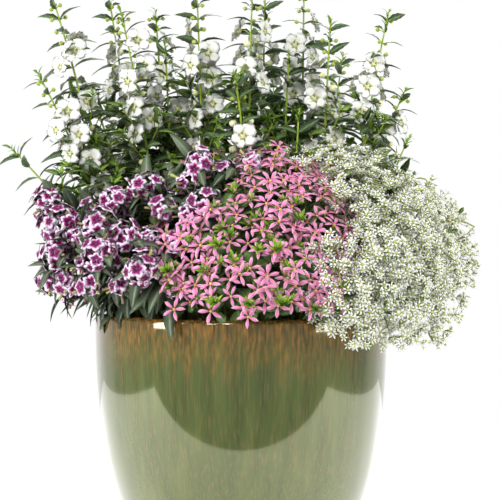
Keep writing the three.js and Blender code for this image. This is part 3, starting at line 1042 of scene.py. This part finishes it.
# ---- Fan flower stems, leaves and tufts ----
# Low, branching stems make a mound over the front of the rim. Toothed, spoon-shaped leaves fill it, and
# many branches end in a tuft of narrow young leaves.
fan_nodes = nodes_named("fan_flower_stem")
fan_paths = [low_path(n, 0.5, 0.8, 0.052, 0.006) for n in fan_nodes]
fan_tips = [path[2] for path in fan_paths]
fan_routes, fan_leaves, fan_tufts, fan_flowers = [], [], [], []
chance = random.Random(47)
MOUND_MIDDLE = Vector((0.02, -0.055, POT_HEIGHT + 0.022))


def tuft(at, way, size):
    """A rosette of narrow young leaves at a branch's end."""
    axis = way.normalized()
    first = axis.orthogonal().normalized()
    second = axis.cross(first)
    for k in range(11):
        out = axis + (first * math.cos(k * 2.4) + second * math.sin(k * 2.4)) * (0.25 + 0.09 * k)
        spot = pose(at - axis * 0.003, out, axis, size * chance.uniform(0.75, 1.15))
        fan_tufts.append((spot, chance.random()))


def fan_flower_at(spot, out):
    """A flower on a short stalk, turned out of the mound and towards the light."""
    facing = (out + Vector((0, -0.3, 0.15)) + scatter(0.4)).normalized()
    up = UPWARD + Vector((chance.uniform(-1, 1), 0, 0))
    up -= facing * up.dot(facing)
    fan_flowers.append((pose(spot, up, facing, chance.uniform(0.026, 0.032)), chance.random()))


for path in fan_paths:
    fan_routes.append(([point_on(path, k / 14) for k in range(15)], 0.0022, 0.0012))
inner = mound_sites(fan_tips, MOUND_MIDDLE, 0.021, (0.5, 0.86), 1400, POT_HEIGHT + 0.008)
outer = mound_sites(fan_tips, MOUND_MIDDLE, 0.0136, (0.9, 1.0), 3400, POT_HEIGHT + 0.012)
outer = [site for site in outer if all((site - head).length > 0.026 for head in heads[-5:])]
for start, end in forks_to(inner + outer, fan_paths, 0.35):
    out = (end - MOUND_MIDDLE).normalized()
    fan_routes.append(twig(start, end, 0.0012, 0.0008))
    if end in outer:
        fan_flower_at(end + out * 0.004, out)
        if chance.random() < 0.25:
            extra = end + scatter(0.012) + out * 0.008
            fan_routes.append(twig(end, extra, 0.0008, 0.0006))
            fan_flower_at(extra, out)
        if chance.random() < 0.3:
            tuft(end + scatter(0.008) + out * 0.006, out + UPWARD * 0.4 + scatter(0.3),
                 chance.uniform(0.011, 0.017))
        if chance.random() < 0.5:
            spot = pose(end - out * 0.008, scatter(1) - UPWARD * 0.3, out, chance.uniform(0.018, 0.028))
            fan_leaves.append((spot, chance.random()))
    else:
        for k in range(5):
            way = scatter(1) + out * 0.25 - UPWARD * 0.2
            facing = out + UPWARD * 0.4 + scatter(0.2)
            spot = pose(start.lerp(end, 0.25 * k), way, facing, chance.uniform(0.022, 0.036))
            fan_leaves.append((spot, chance.random()))

fan_stem_material = mottled_material("fan_flower_stem", (0.06, 0.1, 0.02), (0.2, 0.26, 0.06), 60, 0.5)
finished(stalks("fan_flower_stems", fan_routes), "fan_flower_stems", fan_stem_material,
         fan_nodes)


def spoon(width, teeth):
    """A spoon-shaped outline with a few coarse teeth round its end."""

    def half_width(t):
        body = math.sin(math.pi * min(t, 1) ** 1.9) ** 0.7 if 0 < t < 1 else 0
        tooth = 1 + (teeth if round(t * 10) % 2 else -teeth) * (t > 0.35)
        return max(width / 2 * body * tooth, 0.03 * (1 - t)) + 0.004

    return half_width


fan_leaf_material = leaf_material("fan_flower_leaf", (0.03, 0.065, 0.014), (0.12, 0.21, 0.05),
                                  (0.16, 0.26, 0.07))
leaf = blade("spoon_leaf", spoon(0.55, 0.09), 8, fold=0.22, arch=0.25, thickness=0.03)
placed_copies("fan_flower_leaves", leaf, fan_leaves, fan_leaf_material)


def tuft_material():
    """Young leaves: lime green that turns red brown at the points."""
    material, shader = new_material("fan_flower_tuft", 0.45, 0.4)
    lime = tinted(material, (0.09, 0.2, 0.012), (0.33, 0.52, 0.04), 120)
    points = ranged(material, across_and_along(material)[1], 0.82, 1.0, 0.0, 0.75)
    color = mixed(material, points, lime.outputs["Color"], (0.26, 0.08, 0.02))
    feed(material, color, shader.inputs["Base Color"])
    relief(material, shader, lime.outputs["Height"], 0.2, 0.0003)
    return material


leaf = blade("tuft_leaf", lance(0.26, 0.45), 3, fold=0.4, arch=0.1, thickness=0.03)
placed_copies("fan_flower_tufts", leaf, fan_tufts, tuft_material())


# ---- Fan flowers ----
# One tube, split along its back, opens into five narrow pointed petals spread like a hand. They are pink,
# paler at the edges and darker along the middle, round a yellow throat.
def fan_petal_material():
    material, shader = new_material("pink_petal", 0.5, 0.3)
    across, along = across_and_along(material)
    pinks = ramped(material, along, [(0.0, (0.75, 0.58, 0.06)), (0.07, (0.75, 0.55, 0.12)),
                                     (0.14, (0.64, 0.09, 0.27)), (0.5, (0.84, 0.24, 0.47)),
                                     (1.0, (0.9, 0.42, 0.63))])
    off = off_midrib(material, across)
    paler = mixed(material, ranged(material, off, 0.12, 0.5, 0.0, 0.7), pinks, (0.93, 0.6, 0.75))
    mottle = tinted(material, (0.86, 0.8, 0.84), (1, 1, 1), 90).outputs["Color"]
    feed(material, mixed(material, 1.0, paler, mottle, "MULTIPLY"), shader.inputs["Base Color"])
    relief(material, shader, off, 0.3, 0.0004)
    glowing(shader, 0.2, (0.003, 0.001, 0.0015))
    return material


def fan_flower():
    petals = []
    for degrees in (-150, -78, -8, 62, 132):
        petal = blade("petal", lance(0.3, 0.6), 5, 2, fold=0.45, arch=0.26, thickness=0.04)
        petals.append((petal, math.radians(degrees), 0.5))
    face = ring_of_petals("fan_face", petals, 0.015, math.radians(14))
    return joined("fan_flower", [face, tube(6, 0.02, 0.055, 0.24, -0.1, 0.05)])


placed_copies("fan_flowers", fan_flower(), fan_flowers, fan_petal_material())


# ---- Spurge stems and leaves ----
# Wiry stems fork again and again and run out past the rim, with a pair of small leaves at some of the
# forks and a flower at every end.
spurge_nodes = nodes_named("spurge_stem")
spurge_paths = [low_path(n, 0.55, 0.55, 0.106) for n in spurge_nodes]
spurge_routes, spurge_leaves, spurge_flowers = [], [], []
chance = random.Random(59)
CLOUD_MIDDLE = Vector((0.13, -0.05, POT_HEIGHT + 0.04))

for path in spurge_paths:
    spurge_routes.append(([point_on(path, k / 14) for k in range(15)], 0.0018, 0.0009))
forks = mound_sites([path[2] for path in spurge_paths], CLOUD_MIDDLE, 0.0122, (0.58, 0.99), 6500, 0)
for start, end in forks_to(forks, spurge_paths, 0.3):
    out = (end - CLOUD_MIDDLE).normalized()
    spurge_routes.append(twig(start, end, 0.0006, 0.0004))
    for _ in range(5):
        spot = end + (out * 0.7 + scatter(1)).normalized() * chance.uniform(0.005, 0.012)
        spurge_routes.append(([end, spot], 0.0003, 0.0003))
        facing = out * 0.9 + Vector((0, -0.35, 0.3)) + scatter(0.45)
        flower = pose(spot, facing.orthogonal(), facing, chance.uniform(0.0095, 0.013))
        spurge_flowers.append((flower, chance.uniform(0.4, 1)))
    if chance.random() < 0.5:
        side = scatter(1)
        for way in (side, -side):
            spot = pose(end, way + out * 0.5, UPWARD + out, chance.uniform(0.009, 0.016))
            spurge_leaves.append((spot, chance.random()))

spurge_stem_material = mottled_material("spurge_stem", (0.2, 0.22, 0.06), (0.42, 0.45, 0.14), 60, 0.5)
finished(stalks("spurge_stems", spurge_routes, 0), "spurge_stems", spurge_stem_material,
         spurge_nodes)
spurge_leaf_material = leaf_material("spurge_leaf", (0.05, 0.1, 0.02), (0.18, 0.28, 0.06), (0.24, 0.34, 0.1))
leaf = blade("spurge_leaf", lance(0.36, 0.5), 4, fold=0.2, arch=0.15, thickness=0.025)
placed_copies("spurge_leaves", leaf, spurge_leaves, spurge_leaf_material)


# ---- Spurge flowers ----
# What look like petals are white bracts, four or five round a tiny lime green cup of florets.
def bract_ring():
    bracts = []
    for k in range(5):
        bract = blade("bract", lance(0.44, 0.6), 2, 2, fold=0.25, arch=0.05, thickness=0.06)
        bracts.append((bract, 2 * math.pi * k / 5, 0.5))
    return ring_of_petals("bracts", bracts, 0.06, math.radians(24))


bract_material = petal_material("white_bract", [(0.0, (0.6, 0.68, 0.25)), (0.2, (0.92, 0.94, 0.84)),
                                                (1.0, (0.98, 0.98, 0.97))], glow=0.15)
placed_copies("spurge_bracts", bract_ring(), spurge_flowers, bract_material)
bpy.ops.object.select_all(action="DESELECT")
bpy.ops.mesh.primitive_cone_add(vertices=4, radius1=0.07, radius2=0.13, depth=0.2, location=(0, 0, 0.04),
                                calc_uvs=True)
cup = bpy.context.object
cup.data.transform(Matrix.Translation((0, 0, 0.04)))
cup.location = (0, 0, 0)
cup_material = mottled_material("spurge_cup", (0.28, 0.34, 0.03), (0.55, 0.6, 0.1), 200, 0.5)
placed_copies("spurge_cups", cup, spurge_flowers, cup_material)
